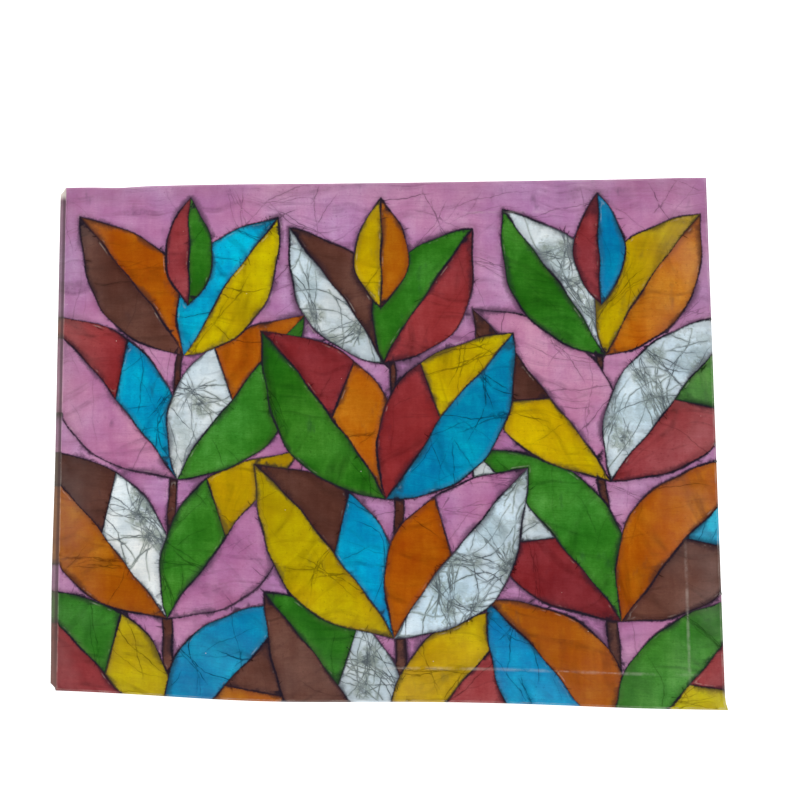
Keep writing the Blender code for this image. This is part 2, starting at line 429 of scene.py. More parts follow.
def crackle(pieces):
    """Cracks as (points, force at each point), and knots as (u, v, force)."""
    rng = random.Random(CRACK_SEED)
    area = FACE_WIDTH * FACE_HEIGHT * SQUARE_DECIMETRES
    tries = np.array([(rng.uniform(-HALF_WIDTH, HALF_WIDTH), rng.uniform(-HALF_HEIGHT, HALF_HEIGHT))
                      for _ in range(round(area * DENSEST))])
    begun, knots, grain = [], [], {-1: 0.0}
    for centre, number in zip(tries, owners_at(tries, pieces)):
        bunches, lone, force, bend = DYES[dye_of(number, pieces)][1:5]
        along = grain.setdefault(number, rng.uniform(0, math.pi))
        drawn = rng.random() * DENSEST
        if drawn < bunches:
            heading = along + rng.gauss(0, 0.4) + rng.choice((0, 0, 1.4))
            fan = rng.choice(KNOT_FANS)
            for _ in range(rng.randint(3, 7)):
                place = (centre[0] + rng.gauss(0, KNOT_SPREAD), centre[1] + rng.gauss(0, KNOT_SPREAD))
                slant = heading + rng.gauss(0, fan)
                begun.append((place, slant, bend, force * rng.uniform(0.5, 1.0), number))
            knots.append((centre[0], centre[1], rng.uniform(0.2, 1.0) * force))
        elif drawn < bunches + lone:
            heading = along + rng.gauss(0, 0.5) + rng.choice((0, 1.4))
            begun.append((centre, heading, bend, force * rng.uniform(0.3, 1.0) ** 1.3, number))
    cracks = []
    for place, heading, bend, force, number in begun:
        points, middle = crack_points(rng, place, heading, bend)
        run, short = within_piece(rng, points, middle, number, pieces)
        count = len(run)
        if count < 3:
            continue
        fades = [force] * count
        for k in range(count):
            if short[0]:
                fades[k] = min(fades[k], force * CRACK_FADE * k / (count - 1))
            if short[1]:
                fades[k] = min(fades[k], force * CRACK_FADE * (1 - k / (count - 1)))
        cracks.append((run, fades))
    return cracks + outline_ticks(rng, pieces), np.array(knots)


# The cloth's face is cut into small triangles that keep to every drawn line and crack
MESH_STEP = 0.0048
LINE_CLEAR = 0.0012
SHORTEST_SPLIT = 0.0009
REFINEMENTS = 3
SAMPLE_STEP = 0.0007
MERGE_WITHIN = 1e-6
NEAREST_TRIED = 6
FACE_CORNERS = ((-HALF_WIDTH, -HALF_HEIGHT), (HALF_WIDTH, -HALF_HEIGHT), (HALF_WIDTH, HALF_HEIGHT),
                (-HALF_WIDTH, HALF_HEIGHT))


def nearest_on_lines(points, starts, ends):
    """Each point's distance to the nearest piece of line, that piece's number and the share along it."""
    runs = ends - starts
    squares = np.maximum((runs ** 2).sum(1), 1e-16)
    counts = np.maximum(1, np.ceil(np.sqrt(squares) / SAMPLE_STEP)).astype(int)
    numbers = np.repeat(np.arange(len(starts)), counts)
    shares = np.concatenate([(np.arange(count) + 0.5) / count for count in counts])
    samples = starts[numbers] + shares[:, None] * runs[numbers]
    tree = kdtree.KDTree(len(samples))
    for k, sample in enumerate(samples):
        tree.insert((sample[0], sample[1], 0.0), k)
    tree.balance()
    near = np.array([[found[1] for found in tree.find_n((p[0], p[1], 0.0), NEAREST_TRIED)] for p in points])
    lines = numbers[near]
    block = points[:, None] - starts[lines]
    along = np.clip((block * runs[lines]).sum(2) / squares[lines], 0, 1)
    gaps = np.sqrt(((block - along[..., None] * runs[lines]) ** 2).sum(2))
    best = gaps.argmin(1)
    rows = np.arange(len(points))
    return gaps[rows, best], lines[rows, best], along[rows, best]


def rim_points():
    """Points round the rim of the face, so that the sides start from an even edge."""
    across = round(FACE_WIDTH / MESH_STEP)
    up = round(FACE_HEIGHT / MESH_STEP)
    level = [-HALF_WIDTH + FACE_WIDTH * step / across for step in range(across + 1)]
    upright = [-HALF_HEIGHT + FACE_HEIGHT * step / up for step in range(1, up)]
    return ([(u, v) for u in level for v in (-HALF_HEIGHT, HALF_HEIGHT)]
            + [(u, v) for v in upright for u in (-HALF_WIDTH, HALF_WIDTH)])


def middle_points(starts, ends):
    """An even grid of points over the face that keeps clear of the lines."""
    across = np.arange(-HALF_WIDTH + MESH_STEP, HALF_WIDTH - MESH_STEP / 2, MESH_STEP)
    up = np.arange(-HALF_HEIGHT + MESH_STEP, HALF_HEIGHT - MESH_STEP / 2, MESH_STEP)
    grid = np.array([(u, v) for u in across for v in up])
    return grid[nearest_on_lines(grid, starts, ends)[0] > LINE_CLEAR]


def joined_edges(outlines, closed):
    """The corners of several outlines in one list, and the pairs of numbers that join them."""
    corners, edges = [], []
    for outline in outlines:
        first = len(corners)
        count = len(outline)
        corners += [(float(point[0]), float(point[1])) for point in outline]
        edges += [(first + k, first + (k + 1) % count) for k in range(count if closed else count - 1)]
    return corners, edges


def triangulate(pieces, cracks):
    """The face as points, triangles and the piece number of each, and the drawn lines between pieces."""
    corners, edges = joined_edges([outline for dye, outline in pieces], True)
    crack_corners, crack_edges = joined_edges([points for points, fades in cracks], False)
    first_crack = len(edges)
    edges += [(a + len(corners), b + len(corners)) for a, b in crack_edges]
    corners += crack_corners
    first_rim = len(corners)
    drawn_corners = np.array(corners)
    starts, ends = drawn_corners[[a for a, b in edges]], drawn_corners[[b for a, b in edges]]
    past_cracks = len(edges)
    edges += [(first_rim + k, first_rim + (k + 1) % 4) for k in range(4)]
    corners += list(FACE_CORNERS) + rim_points() + [tuple(point) for point in middle_points(starts, ends)]
    for refinement in range(REFINEMENTS + 1):
        result = geometry.delaunay_2d_cdt([Vector(c) for c in corners], edges, [], 0, MERGE_WITHIN)
        points = np.array([tuple(p) for p in result[0]])
        triangles = np.array([tuple(t) for t in result[2]])
        centres = points[triangles].mean(1)
        kept = (abs(centres[:, 0]) < HALF_WIDTH) & (abs(centres[:, 1]) < HALF_HEIGHT)
        triangles = triangles[kept]
        owner = owners_at(centres[kept], pieces)
        sides = {}
        for number, (a, b, c) in enumerate(triangles.tolist()):
            for pair in ((a, b), (b, c), (c, a)):
                sides.setdefault((min(pair), max(pair)), []).append(int(owner[number]))
        drawn = {pair for pair, owners in sides.items() if len(owners) == 2 and owners[0] != owners[1]}
        cracked = {(min(pair), max(pair)) for pair, sources in zip(result[1], result[4])
                   if any(first_crack <= source < past_cracks for source in sources)}
        if refinement == REFINEMENTS:
            break
        bridging = set()
        for lines in (drawn, cracked):
            on_line = set(number for pair in lines for number in pair)
            bridging |= {pair for pair in sides
                         if pair not in lines and pair[0] in on_line and pair[1] in on_line}
        for a, b in sorted(bridging):
            if np.hypot(*(points[a] - points[b])) > SHORTEST_SPLIT:
                corners.append(tuple((points[a] + points[b]) / 2))
    line_starts = points[[a for a, b in sorted(drawn)]]
    line_ends = points[[b for a, b in sorted(drawn)]]
    used = np.unique(triangles)
    renumbered = np.full(len(points), -1)
    renumbered[used] = np.arange(len(used))
    return points[used], renumbered[triangles], owner, line_starts, line_ends


KNOT_REACH = 0.0055


def crack_marks(points, cracks, knots):
    """Each point's distance to the nearest crack, that crack's force there, and how near a knot is."""
    marked = [[(*point, fade) for point, fade in zip(run, fades)] for run, fades in cracks]
    starts = np.array([mark for run in marked for mark in run[:-1]])
    ends = np.array([mark for run in marked for mark in run[1:]])
    gaps, lines, along = nearest_on_lines(points, starts[:, :2], ends[:, :2])
    force = starts[lines, 2] * (1 - along) + ends[lines, 2] * along
    away = np.hypot(points[:, 0, None] - knots[None, :, 0], points[:, 1, None] - knots[None, :, 1])
    near_knot = (knots[None, :, 2] * np.exp(-((away / KNOT_REACH) ** 2))).max(1)
    return gaps, force, near_knot


def smooth_step(value):
    """0 below 0, 1 above 1, and a smooth rise between."""
    held = min(1.0, max(0.0, value))
    return held * held * (3 - 2 * held)


def swell(place, rows):
    """The sum of soft bumps, each a (place, reach, travel) row."""
    return sum(travel * math.exp(-((place - centre) / reach) ** 2) for centre, reach, travel in rows)


def relief(u, v):
    """How far the face stands out: hollow between the battens, ridged over their inner edges."""
    inside_u = HALF_WIDTH - abs(u) - FRAME_INSET - BAR_WIDTH
    inside_v = HALF_HEIGHT - abs(v) - FRAME_INSET - BAR_WIDTH
    hollow = SAG * smooth_step(inside_u / SAG_RAMP) * smooth_step(inside_v / SAG_RAMP)
    ridge = RIDGE * (math.exp(-(inside_u / RIDGE_REACH) ** 2) + math.exp(-(inside_v / RIDGE_REACH) ** 2))
    ripple = math.sin(58 * u + 9 * v) * math.exp(-(HALF_HEIGHT - abs(v)) / RIPPLE_REACH)
    ripple += math.sin(66 * v - 7 * u + 1) * math.exp(-(HALF_WIDTH - abs(u)) / RIPPLE_REACH)
    slack = SLACK * math.sin(31 * u + 17 * v) * math.sin(23 * v - 11 * u + 0.6)
    edge = smooth_step(min(HALF_WIDTH - abs(u), HALF_HEIGHT - abs(v)) / RELIEF_CLEAR)
    return (ridge + RIPPLE * ripple + slack) * edge - hollow


def bevel_out(u, v, depth):
    """How far the left side stands out from the face at this height and depth."""
    down = (HALF_HEIGHT - v) / FACE_HEIGHT
    along = smooth_step((HALF_HEIGHT - abs(v)) / BEVEL_FADE)
    beside = smooth_step((-HALF_WIDTH + BEVEL_BESIDE - u) / (BEVEL_BESIDE - 2 * FOLD))
    return (BEVEL_OUT + swell(down, BEVEL_SWELL)) * along * beside * min(1.0, depth / BEVEL_DEPTH)


def hung_place(u, v, inset, depth):
    """Where a point of the cloth hangs, from its place on the flat face, its inset and its depth."""
    x = u * (1 - inset / HALF_WIDTH)
    z = v * (1 - inset / HALF_HEIGHT)
    x -= bevel_out(x, z, depth)
    across = (x + HALF_WIDTH) / FACE_WIDTH
    near_top = 1 - smooth_step((HALF_HEIGHT - z) / WAVE_FADE)
    near_bottom = 1 - smooth_step((HALF_HEIGHT + z - BAR_WIDTH) / WAVE_FADE)
    nib = max(0.0, 1 - (HALF_HEIGHT + z) / NIB_REACH) * smooth_step((across - 0.9) / 0.1)
    z += swell(across, TOP_WAVES) * near_top - swell(across, BOTTOM_WAVES) * near_bottom
    x += NIB_OUT * nib * nib + LEAN * z
    return (x, FRONT_Y + depth, z + FACE_CENTRE_Z)


# The way round the side as rows of (inset, depth, travel along the cloth from the rim)
ROUND_FOLD = 0.3 * FOLD
SIDE_DEPTHS = (FOLD, 0.0026, BEVEL_DEPTH, 0.0076, 0.0112, 0.0148, TOTAL_DEPTH - FOLD)
REAR_INSETS = (FOLD, 0.0055, 0.0100, 0.0148, TURN_BACK)
SIDE_ROWS = [
    (ROUND_FOLD, ROUND_FOLD, 0.0010),
    *((0.0, depth, depth + 0.0008) for depth in SIDE_DEPTHS),
    (ROUND_FOLD, TOTAL_DEPTH - ROUND_FOLD, 0.0192),
    *((inset, TOTAL_DEPTH, inset + 0.0190) for inset in REAR_INSETS),
]
RAW_EDGE_WAVE = 0.0011
TACK_SPACING = 0.070
TACK_INSET = 0.0125
PUFF = 0.0009
PUFF_START = 0.0040
PIECE_SEED = 7


def at_side(u):
    """Whether a place across the face is on its left or right edge."""
    return abs(u) > HALF_WIDTH - TINY


def at_end(v):
    """Whether a place up the face is on its top or bottom edge."""
    return abs(v) > HALF_HEIGHT - TINY


def rim_order(points):
    """The numbers of the points on the rim, one way round from the lower left corner."""
    def way_round(number):
        u, v = points[number]
        if v < -HALF_HEIGHT + TINY and u < HALF_WIDTH - TINY:
            return u + HALF_WIDTH
        if u > HALF_WIDTH - TINY and v < HALF_HEIGHT - TINY:
            return FACE_WIDTH + v + HALF_HEIGHT
        if v > HALF_HEIGHT - TINY and u > -HALF_WIDTH + TINY:
            return FACE_WIDTH + FACE_HEIGHT + HALF_WIDTH - u
        return 2 * FACE_WIDTH + FACE_HEIGHT + HALF_HEIGHT - v

    return sorted((n for n, (u, v) in enumerate(points) if at_side(u) or at_end(v)), key=way_round)


def between_tacks(u, v):
    """0 beside a tack and 1 halfway to the next, for a place on the rim."""
    along = v if at_side(u) else u
    return 0.5 + 0.5 * math.cos(2 * math.pi * along / TACK_SPACING)


def build_cloth_mesh():
    """The cloth's outer surface with its dyes, distances from lines and places on the flat cloth."""
    pieces = drawn_pattern()
    cracks, knots = crackle(pieces)
    points, triangles, owner, line_starts, line_ends = triangulate(pieces, cracks)
    from_line = nearest_on_lines(points, line_starts, line_ends)[0]
    marks = np.column_stack((from_line, *crack_marks(points, cracks, knots)))
    rng = random.Random(PIECE_SEED)
    seeds = [rng.random() for _ in pieces] + [0.5]
    places, spots = [], []
    for u, v in points:
        x, y, z = hung_place(u, v, FOLD if at_side(u) or at_end(v) else 0.0, 0.0)
        spots.append((x, y - relief(u, v), z))
        places.append((u, v))
    carried = list(range(len(points)))
    faces = [tuple(int(n) for n in t) for t in triangles]
    owners = [int(n) for n in owner]
    side_marks = [0.0] * len(faces)
    rim = rim_order(points)
    rim_owner = {}
    for number, triangle in enumerate(faces):
        for k in range(3):
            rim_owner[frozenset((triangle[k], triangle[(k + 1) % 3]))] = owners[number]
    previous = rim
    count = len(rim)
    for inset, depth, travel in SIDE_ROWS:
        row = []
        for number in rim:
            u, v = points[number]
            slack = between_tacks(u, v)
            here = inset - RAW_EDGE_WAVE * (slack - 0.5) * 2 if inset == TURN_BACK else inset
            lift = PUFF * slack * smooth_step((here - PUFF_START) / PUFF_START)
            spots.append(hung_place(u, v, here, depth + lift))
            out_u = math.copysign(travel, u) if at_side(u) else 0.0
            out_v = math.copysign(travel, v) if at_end(v) else 0.0
            places.append((u + out_u, v + out_v))
            carried.append(number)
            row.append(len(spots) - 1)
        for order in range(count):
            after = (order + 1) % count
            faces.append((previous[order], row[order], row[after], previous[after]))
            owners.append(rim_owner[frozenset((rim[order], rim[after]))])
            side_marks.append(1.0)
        previous = row
    mesh = bpy.data.meshes.new("batik_cotton_cloth")
    mesh.from_pydata(spots, [], faces)
    dye_layer = mesh.color_attributes.new("dye", "FLOAT_COLOR", "CORNER")
    habit_layer = mesh.color_attributes.new("habit", "FLOAT_COLOR", "CORNER")
    place_layer = mesh.uv_layers.new(name="cloth_place")
    for column, name in enumerate(("from_line", "from_crack", "crack_force", "near_knot")):
        layer = mesh.attributes.new(name, "FLOAT", "POINT")
        layer.data.foreach_set("value", marks[carried, column])
    for polygon in mesh.polygons:
        number = owners[polygon.index]
        colour, _, _, force, _, unevenness = DYES[dye_of(number, pieces)]
        habit = (force, seeds[number], side_marks[polygon.index], unevenness)
        for corner in polygon.loop_indices:
            dye_layer.data[corner].color = colour
            habit_layer.data[corner].color = habit
            place_layer.data[corner].uv = places[mesh.loops[corner].vertex_index]
    mesh.shade_smooth()
    return mesh


def thickened(piece, thickness):
    """Gives a sheet its thickness towards its inner side, and marks that side's points as its reverse."""
    thicken = piece.modifiers.new("thickness", "SOLIDIFY")
    thicken.thickness = thickness
    thicken.offset = -1.0
    outer = len(piece.data.vertices)
    both = bpy.data.meshes.new_from_object(piece.evaluated_get(bpy.context.evaluated_depsgraph_get()))
    piece.modifiers.clear()
    piece.data = both
    reverse = both.attributes.new("reverse", "FLOAT", "POINT")
    reverse.data.foreach_set("value", [0.0] * outer + [1.0] * (len(both.vertices) - outer))


def placed(name, data):
    """A new object in the scene."""
    made = bpy.data.objects.new(name, data)
    bpy.context.scene.collection.objects.link(made)
    return made


cloth = placed("batik_cotton", build_cloth_mesh())
thickened(cloth, COTTON)

OUTLINE_DYE = srgb(30, 24, 36)
WAX_STAIN = srgb(110, 121, 98)
DIRT = srgb(196, 192, 198)
# Pale wax, also the colour of painted highlights on the folded edges and the left strip's top
PALE_WAX_AND_HIGHLIGHT = srgb(214, 206, 196)
INK = srgb(22, 26, 44)
# Olive-grey for the painted shade, with some grime, on the left side strip
SIDE_SHADE_AND_GRIME = srgb(104, 98, 88)
# Dark plum for the painted shade in the crease where the left side meets the face
FOLD_CREASE_SHADE = srgb(52, 30, 44)
WARM_CAST = srgb(255, 241, 227)
COOL_CAST = srgb(234, 248, 255)
FADED = srgb(208, 200, 198)
PLUM = srgb(104, 60, 72)
RUB_INSET = FRAME_INSET + BAR_WIDTH - 0.0012
RUB_END = 0.015
THREADS_PER_METRE = 2000.0
WAVES_PER_SCALE = 3.2


def stretched(place, turn, along, across):
    """The cloth's places turned by an angle and scaled along and across it, for streaky noise."""
    turned = add_node("Mapping", Vector=place, Rotation=(0, 0, turn)).outputs[0]
    return add_node("Mapping", Vector=turned, Scale=(along, across, 1)).outputs[0]


def streaks(place, turn, along, across, detail, roughness):
    """Noise drawn out into streaks."""
    return noise(stretched(place, turn, along, across), 1.0, detail, roughness)


def moved(place, shift):
    """Places moved by a shift."""
    return add_node("VectorMath", {"operation": "ADD"}, i0=place, i1=shift).outputs[0]


def wandering(place, scale, reach):
    """Places moved about by noise, so that what is drawn on them bends."""
    shift = add_node("VectorMath", {"operation": "SCALE"}, i0=noise(place, scale, 2.0, 0.5, 1), Scale=reach)
    return moved(place, shift.outputs[0])


def times(*numbers):
    """The product of several numbers."""
    return maths("MULTIPLY", *numbers)


def highest(*numbers):
    """The highest of several numbers."""
    return maths("MAXIMUM", *numbers)


def apart(first, second):
    """How far apart two numbers are."""
    return maths("ABSOLUTE", maths("SUBTRACT", first, second))


def laid_over(colour, *layers):
    """A colour under layers of others, each layer a (share, colour) pair."""
    for share, layer in layers:
        colour = blend(share, colour, layer)
    return colour


def soaked(dye, dose, shade=1.0):
    """A dye taken up in a given dose, as a dyebath's colour deepens, and then shaded."""
    deep = add_node("Gamma", Color=dye, Gamma=dose).outputs[0]
    grey = add_node("CombineColor", tree=deep.id_data, Red=shade, Green=shade, Blue=shade).outputs[0]
    return blend(1.0, deep, grey, "MULTIPLY")


def rub_line(place, along, across, middle, start, end):
    """A faint broken pale band where the cloth rubbed on a batten's inner edge, between two places."""
    off = apart(across, middle)
    reach = times(ramp(along, start - RUB_END, start + RUB_END),
                  ramp(along, end - RUB_END, end + RUB_END, 1.0, 0.0))
    soft = times(ramp(off, 0.0, 0.0019, 1.0, 0.0),
                 patches(place, 60.0, 4.0, 0.7, 0.38, 0.66, 0.0, 0.22))
    crisp = times(ramp(off, 0.0001, 0.0009, 1.0, 0.0),
                  patches(place, 46.0, 3.0, 0.6, 0.46, 0.64, 0.0, 0.26),
                  patches(place, 520.0, 3.0, 0.7, 0.35, 0.60, 0.20, 1.0))
    return times(highest(soft, crisp), reach)


def batik():
    """Dyed cotton with drawn outlines, crackle, stains, wear and weave, and painted shade and highlights at
    its edges.
    """
    made, tree, shader = new_material("batik_cotton")
    place = add_node("UVMap", {"uv_map": "cloth_place"}, tree=tree).outputs[0]
    dye = add_node("Attribute", {"attribute_name": "dye"}, tree=tree).outputs["Color"]
    habit = add_node("Attribute", {"attribute_name": "habit"}, tree=tree)
    habits = add_node("SeparateColor", Color=habit.outputs["Color"])
    force, seed, on_side = habits.outputs
    unevenness = habit.outputs["Alpha"]
    gap, from_crack, crack_force, near_knot, reverse = [
        add_node("Attribute", {"attribute_name": name}, tree=tree).outputs["Fac"]
        for name in ("from_line", "from_crack", "crack_force", "near_knot", "reverse")
    ]
    u, v = add_node("SeparateXYZ", Vector=place).outputs[:2]
    from_side = maths("SUBTRACT", HALF_WIDTH, maths("ABSOLUTE", u))
    from_end = maths("SUBTRACT", HALF_HEIGHT, maths("ABSOLUTE", v))
    from_border = maths("MINIMUM", from_side, from_end)

    # Each piece has its own tone and cast; inside it the dye lies cloudy and a little streaked along the
    # weave, and thinner towards the lower and right borders
    own_shift = add_node("CombineXYZ", X=times(seed, 37.0), Y=times(seed, 91.0)).outputs[0]
    own_place = moved(place, own_shift)
    cloud = noise(own_place, 17.0, 4.0, 0.6)
    mottle = noise(place, 95.0, 4.0, 0.65)
    weft = streaks(place, 0.04, 30.0, 620.0, 3.0, 0.7)
    warp = streaks(place, -0.03, 300.0, 34.0, 4.0, 0.7)
    level = maths(
        "ADD",
        ramp(cloud, 0.28, 0.72, -0.35, 0.27),
        ramp(mottle, 0.3, 0.7, -0.085, 0.085),
        ramp(streaks(place, 0.02, 110.0, 15.0, 3.0, 0.6), 0.3, 0.7, -0.06, 0.06),
        ramp(weft, 0.3, 0.7, -0.05, 0.05),
        ramp(warp, 0.3, 0.7, -0.035, 0.035),
        ramp(streaks(place, 0.0, 520.0, 900.0, 3.0, 0.7), 0.25, 0.75, -0.09, 0.09),
        ramp(seed, 0.0, 1.0, -0.24, 0.24, False),
    )
    bare = ramp(force, 0.9, 0.98)
    thin = highest(ramp(u, HALF_WIDTH - 0.055, HALF_WIDTH, 0.0, 0.07),
                   ramp(v, -HALF_HEIGHT, -HALF_HEIGHT + 0.090, 0.09, 0.0))
    dose = maths("SUBTRACT", 1.0, thin, times(unevenness, level))
    colour = soaked(dye, dose, maths("ADD", 1.07, times(bare, level, 0.25)))
    own_hue = times(maths("FRACT", times(seed, 7.3)), 0.55)
    hue = maths("ADD", own_hue, patches(own_place, 12.0, 3.0, 0.6, 0.35, 0.65, 0.0, 0.45))
    colour = blend(1.0, colour, blend(hue, WARM_CAST, COOL_CAST), "MULTIPLY")
    plum = times(ramp(gap, 0.0006, 0.0052, 0.16, 0.0),
                 patches(own_place, 28.0, 2.0, 0.5, 0.35, 0.65, 0.2, 1.0))
    darker = soaked(dye, 1.5, 0.42)
    darkest = soaked(dye, 1.5, 0.14)
    shade_reach = patches(own_place, 22.0, 2.0, 0.5, 0.35, 0.65, 0.0015, 0.0085)
    shaded = times(ramp(gap, 0.0, shade_reach, 0.46, 0.0),
                   patches(place, 160.0, 3.0, 0.7, 0.3, 0.7, 0.55, 1.0))

    # Soft dark bands where the folded cloth took up more dye, bowed, and slanting another way in each piece
    curled = wandering(own_place, 13.0, 0.045)
    slanted = add_node("VectorRotate", {"rotation_type": "Z_AXIS"}, Vector=curled,
                       Angle=times(seed, 2 * math.pi)).outputs[0]
    patchy = ramp(mottle, 0.38, 0.62, 0.35, 1.0)
    slanting = streaks(slanted, 0.0, 8.0, 75.0, 3.0, 0.55)
    slanting = times(ramp(slanting, 0.50, 0.72, 0.0, 0.54), patchy)
    upright = streaks(curled, 0.05, 9.0, 130.0, 3.0, 0.6)
    upright = times(ramp(upright, 0.54, 0.70, 0.0, 0.44), patchy)
    blots = streaks(own_place, 0.0, 64.0, 30.0, 3.5, 0.62)
    blots = times(ramp(blots, 0.60, 0.78, 0.0, 0.62), ramp(mottle, 0.35, 0.6, 0.3, 1.0))

    # Towards the borders the dye has faded, most at the right, and grey dirt lies on it, most at the left
    # and top. Olive stains lie in the bare white pieces
    faded = highest(
        ramp(u, HALF_WIDTH - 0.060, HALF_WIDTH - 0.012, 0.0, 0.045),
        ramp(u, -HALF_WIDTH, -HALF_WIDTH + 0.045, 0.050, 0.0),
        ramp(v, HALF_HEIGHT - 0.026, HALF_HEIGHT, 0.0, 0.050),
        ramp(v, -HALF_HEIGHT, -HALF_HEIGHT + 0.085, 0.020, 0.0),
    )
    faded = times(faded, patches(place, 20.0, 4.0, 0.65, 0.3, 0.7, 0.3, 1.7))
    colour = laid_over(colour, (plum, PLUM), (shaded, darker), (slanting, darker), (upright, darker),
                       (blots, blend(0.72, dye, INK)), (faded, FADED))
    handled = highest(ramp(u, -HALF_WIDTH, -HALF_WIDTH + 0.05, 0.42, 0.14),
                      ramp(v, HALF_HEIGHT - 0.04, HALF_HEIGHT, 0.0, 0.36))
    dirty = times(ramp(from_border, 0.0, 0.028, 1.0, 0.0), handled,
                  patches(place, 34.0, 3.0, 0.6, 0.3, 0.7, 0.3, 1.0))
    colour = blend(dirty, colour, DIRT, "MULTIPLY")
    round_knots = times(ramp(maths("POWER", near_knot, 0.25), 0.38, 0.74, 0.0, 0.62),
                        patches(own_place, 170.0, 4.0, 0.7, 0.40, 0.52, 0.25, 1.0))
    net = times(ramp(from_crack, 0.0, 0.0012, 1.0, 0.0),
                patches(own_place, 30.0, 3.0, 0.6, 0.36, 0.60, 0.10, 0.60))
    pools = patches(own_place, 24.0, 5.0, 0.7, 0.50, 0.60, 0.0, 0.28)
    stained = times(bare, highest(pools, net, round_knots))

    # Crackle: cracks with a soft edge, the finest hairs near the knots, and the dark knots themselves
    thickness = patches(place, 150.0, 3.0, 0.5, 0.3, 0.7, 0.00001, 0.00024)
    crack = ramp(maths("SUBTRACT", from_crack, thickness), -0.00002, 0.00030, 1.0, 0.0)
    broken = patches(place, 120.0, 3.0, 0.6, 0.30, 0.55, 0.35, 1.0)
    crack = times(crack, broken, ramp(crack_force, 0.0, 0.86, 0.0, 1.0, False), 0.90)
    wide = patches(own_place, 20.0, 2.0, 0.5, 0.4, 0.65, 0.0012, 0.0040)
    soft = times(ramp(from_crack, 0.0, wide, 1.0, 0.0), crack_force,
                 patches(own_place, 34.0, 3.0, 0.6, 0.40, 0.66, 0.10, 0.62))
    hair_place = stretched(wandering(own_place, 70.0, 0.012), 0.4, 110.0, 260.0)
    hair_cells = add_node("TexVoronoi", {"feature": "DISTANCE_TO_EDGE"}, Vector=hair_place, Scale=1.0)
    hair = ramp(hair_cells.outputs["Distance"], 0.0, 0.085, 1.0, 0.0)
    hairy = highest(ramp(near_knot, 0.08, 0.5), times(stained, 1.2))
    hair = times(hair, hairy, ramp(force, 0.4, 0.95, 0.0, 0.58), broken)
    knot = times(ramp(near_knot, 0.25, 0.85, 0.0, 0.72),
                 patches(place, 260.0, 3.0, 0.7, 0.42, 0.62))
    specks = patches(own_place, 360.0, 3.0, 0.6, 0.60, 0.70, 0.0, 0.55)
    soft = highest(soft, times(specks, ramp(cloud, 0.4, 0.6), force))
    colour = laid_over(colour, (stained, WAX_STAIN), (soft, darker),
                       (highest(crack, hair), darkest), (knot, darkest))

    # Beside the outlines: smudged dye on the one hand, pale wax on the other
    spread = maths("ADD", patches(own_place, 24.0, 3.0, 0.6, 0.42, 0.68, 0.0002, 0.0070),
                   patches(place, 430.0, 3.0, 0.7, 0.3, 0.7, -0.0013, 0.0013))
    smudge = times(ramp(gap, 0.0, highest(spread, 0.0001), 1.0, 0.0), 0.88)
    rim = times(ramp(apart(gap, 0.0017), 0.0002, 0.0007, 1.0, 0.0),
                patches(own_place, 52.0, 3.0, 0.7, 0.56, 0.72, 0.0, 0.18))

    # Tiny bare dots where a spatter of wax kept the dye out
    dots = add_node("TexVoronoi", {"feature": "F1"}, Vector=own_place, Scale=150.0)
    chosen = add_node("SeparateColor", Color=dots.outputs["Color"]).outputs[0]
    dot = times(ramp(dots.outputs["Distance"], 0.03, 0.07, 1.0, 0.0),
                ramp(chosen, 0.955, 0.965), 0.8)

    # Drawn outlines, uneven in width and strength
    wander = patches(place, 460.0, 3.0, 0.65, 0.25, 0.75, -0.00036, 0.00036)
    swing = patches(place, 26.0, 3.0, 0.6, 0.3, 0.7, 0.00002, 0.00080)
    half_width = maths("ADD", wander, swing)
    outline = ramp(maths("SUBTRACT", gap, half_width), -0.0004, 0.00085, 1.0, 0.0)
    outline = times(outline, patches(place, 110.0, 2.0, 0.6, 0.25, 0.5, 0.77, 0.99),
                    patches(place, 17.0, 3.0, 0.6, 0.34, 0.57, 0.56, 1.0))

    # Wear: faint pale lines over the battens' inner edges, and along the folded edges a painted highlight
    # with some worn thread
    low, high, right = RUB_INSET - HALF_HEIGHT, HALF_HEIGHT - RUB_INSET, HALF_WIDTH - RUB_INSET
    worn = highest(rub_line(place, u, v, low, 0.0, right),
                   rub_line(place, v, u, right, low, -0.08),
                   rub_line(place, u, v, high, 0.07, 0.13))
    # Painted highlight along the folded edges, where the rounded edge catches light, with some worn thread
    fold_highlight_and_wear = times(ramp(apart(from_border, 0.0002), 0.0, 0.0010, 1.0, 0.0),
                 patches(place, 60.0, 4.0, 0.7, 0.42, 0.68, 0.08, 0.30))
    colour = laid_over(colour, (smudge, blend(0.82, dye, OUTLINE_DYE)), (rim, PALE_WAX_AND_HIGHLIGHT),
                       (dot, PALE_WAX_AND_HIGHLIGHT), (outline, OUTLINE_DYE), (highest(worn, fold_highlight_and_wear), PALE_WAX_AND_HIGHLIGHT))

    # The left side, which shows as a strip: olive-grey painted shade with grime, a painted shaded crease by
    # the face, a painted highlight at its very top
    round_left = times(on_side, ramp(u, -HALF_WIDTH - 0.0004, -HALF_WIDTH, 1.0, 0.0))
    beyond = times(from_border, -1.0)
    # Painted shade over the left side strip, with some grime
    left_side_shade_and_grime = times(round_left, ramp(beyond, 0.0072, 0.0120, 1.0, 0.0))
    # Painted shade in the crease where the strip meets the face, weaker towards the bottom
    fold_crease_shade = times(round_left, ramp(beyond, 0.0016, 0.0028, 1.0, 0.0),
                    ramp(v, -HALF_HEIGHT, -HALF_HEIGHT + 0.07, 0.2, 1.0))
    # Painted highlight at the very top of the left strip, where light from above falls
    top_highlight = times(left_side_shade_and_grime, ramp(v, HALF_HEIGHT - 0.011, HALF_HEIGHT - 0.005, 0.0, 0.8))

